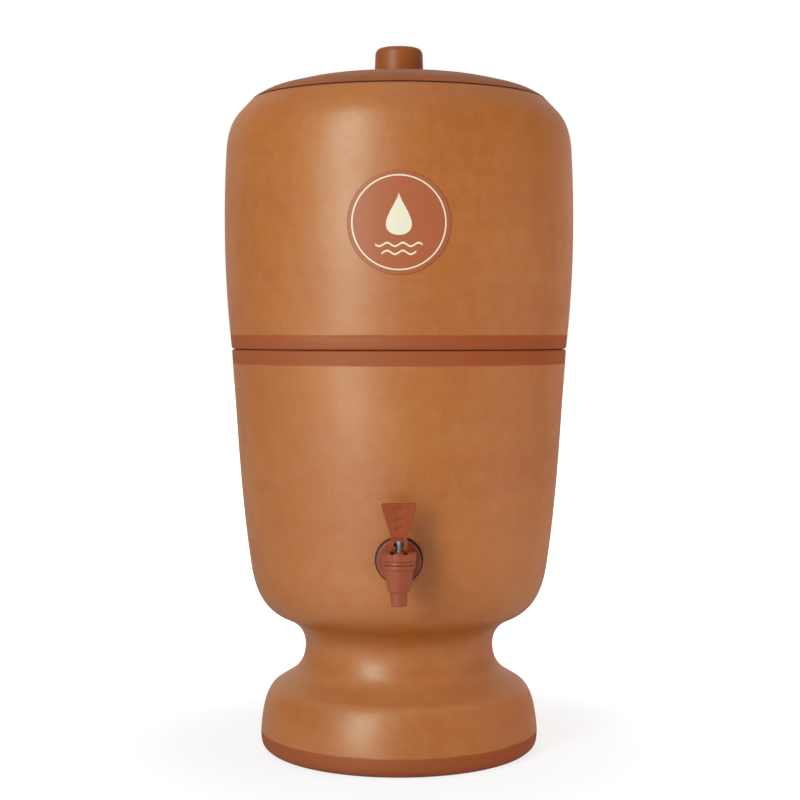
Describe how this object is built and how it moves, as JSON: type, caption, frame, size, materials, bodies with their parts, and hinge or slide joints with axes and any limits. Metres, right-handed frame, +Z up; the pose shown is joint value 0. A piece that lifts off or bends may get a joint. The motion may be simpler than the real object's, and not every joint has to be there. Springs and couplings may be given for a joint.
{
  "type": "clay water filter",
  "caption": "Free-standing gravity water filter: stacked clay vessels with a domed, knobbed lid, ceramic filter candles with float valves inside, and a lever tap above a footed base.",
  "frame": {"origin": "on the ground the filter stands on, under the middle of its outer box; the vessels' axis is 10 mm behind it", "axes": "+Z up along the vessels' axis, -Y towards the user, on the side of the tap, +X to the user's right"},
  "size_m": [0.244, 0.264, 0.4915],
  "materials": {
    "clay": "matte",
    "brown_plastic": "satin",
    "badge_film": "satin",
    "black_rubber": "matte",
    "white_ceramic": "matte",
    "carbon": "matte",
    "white_plastic": "satin",
    "blue_plastic": "satin",
    "silicone": "satin",
    "steel": "satin"
  },
  "bodies": {
    "lower_assembly": {"lower_vessel": "clay", "tap_body": "brown_plastic", "tap_flange_washer": "black_rubber", "tap_inner_washer": "black_rubber", "tap_lock_nut": "brown_plastic", "tap_bonnet": "brown_plastic"},
    "upper_assembly": {"upper_vessel": "clay", "front_badge": "badge_film", "candle_shell_left": "white_ceramic", "candle_base_left": "white_plastic", "candle_carbon_left": "carbon", "candle_gasket_left": "black_rubber", "candle_wing_nut_left": "white_plastic", "float_guide_left": "white_plastic", "float_retainer_left": "white_plastic", "candle_shell_right": "white_ceramic", "candle_base_right": "white_plastic", "candle_carbon_right": "carbon", "candle_gasket_right": "black_rubber", "candle_wing_nut_right": "white_plastic", "float_guide_right": "white_plastic", "float_retainer_right": "white_plastic"},
    "lid_assembly": {"lid": "brown_plastic", "lid_knob": "brown_plastic", "lid_knob_screw": "steel"},
    "float_left": {"float_bell_left": "blue_plastic", "float_seal_left": "silicone"},
    "float_right": {"float_bell_right": "blue_plastic", "float_seal_right": "silicone"},
    "tap_stem_assembly": {"tap_stem": "steel", "tap_seat_cup": "silicone", "tap_spring": "steel"},
    "tap_lever_assembly": {"tap_lever": "brown_plastic", "tap_lever_pin": "steel"}
  },
  "joints": [
    {"name": "upper_lift", "type": "slide", "parent": "lower_assembly", "child": "upper_assembly", "axis": [0, 0, 1], "range_m": [0, 0.12]},
    {"name": "lid_lift", "type": "slide", "parent": "upper_assembly", "child": "lid_assembly", "axis": [0, 0, 1], "range_m": [0, 0.1]},
    {"name": "float_left_rise", "type": "slide", "parent": "upper_assembly", "child": "float_left", "axis": [0, 0, 1], "range_m": [0, 0.01]},
    {"name": "float_right_rise", "type": "slide", "parent": "upper_assembly", "child": "float_right", "axis": [0, 0, 1], "range_m": [0, 0.01]},
    {"name": "stem_lift", "type": "slide", "parent": "lower_assembly", "child": "tap_stem_assembly", "axis": [0, 0, 1], "range_m": [0, 0.0024], "deforming": ["tap_spring", "tap_seat_cup"]},
    {"name": "lever_tilt", "type": "hinge", "parent": "tap_stem_assembly", "child": "tap_lever_assembly", "pos_m": [0, -0.12098, 0.1589], "axis": [1, 0, 0], "range_deg": [0, 75], "stiffness_Nm_per_rad": 0.001, "springref_deg": -85.94}
  ],
  "couplings": [
    {"joint": "lever_tilt", "follows": "stem_lift", "rad_per_m": 545.4}
  ]
}
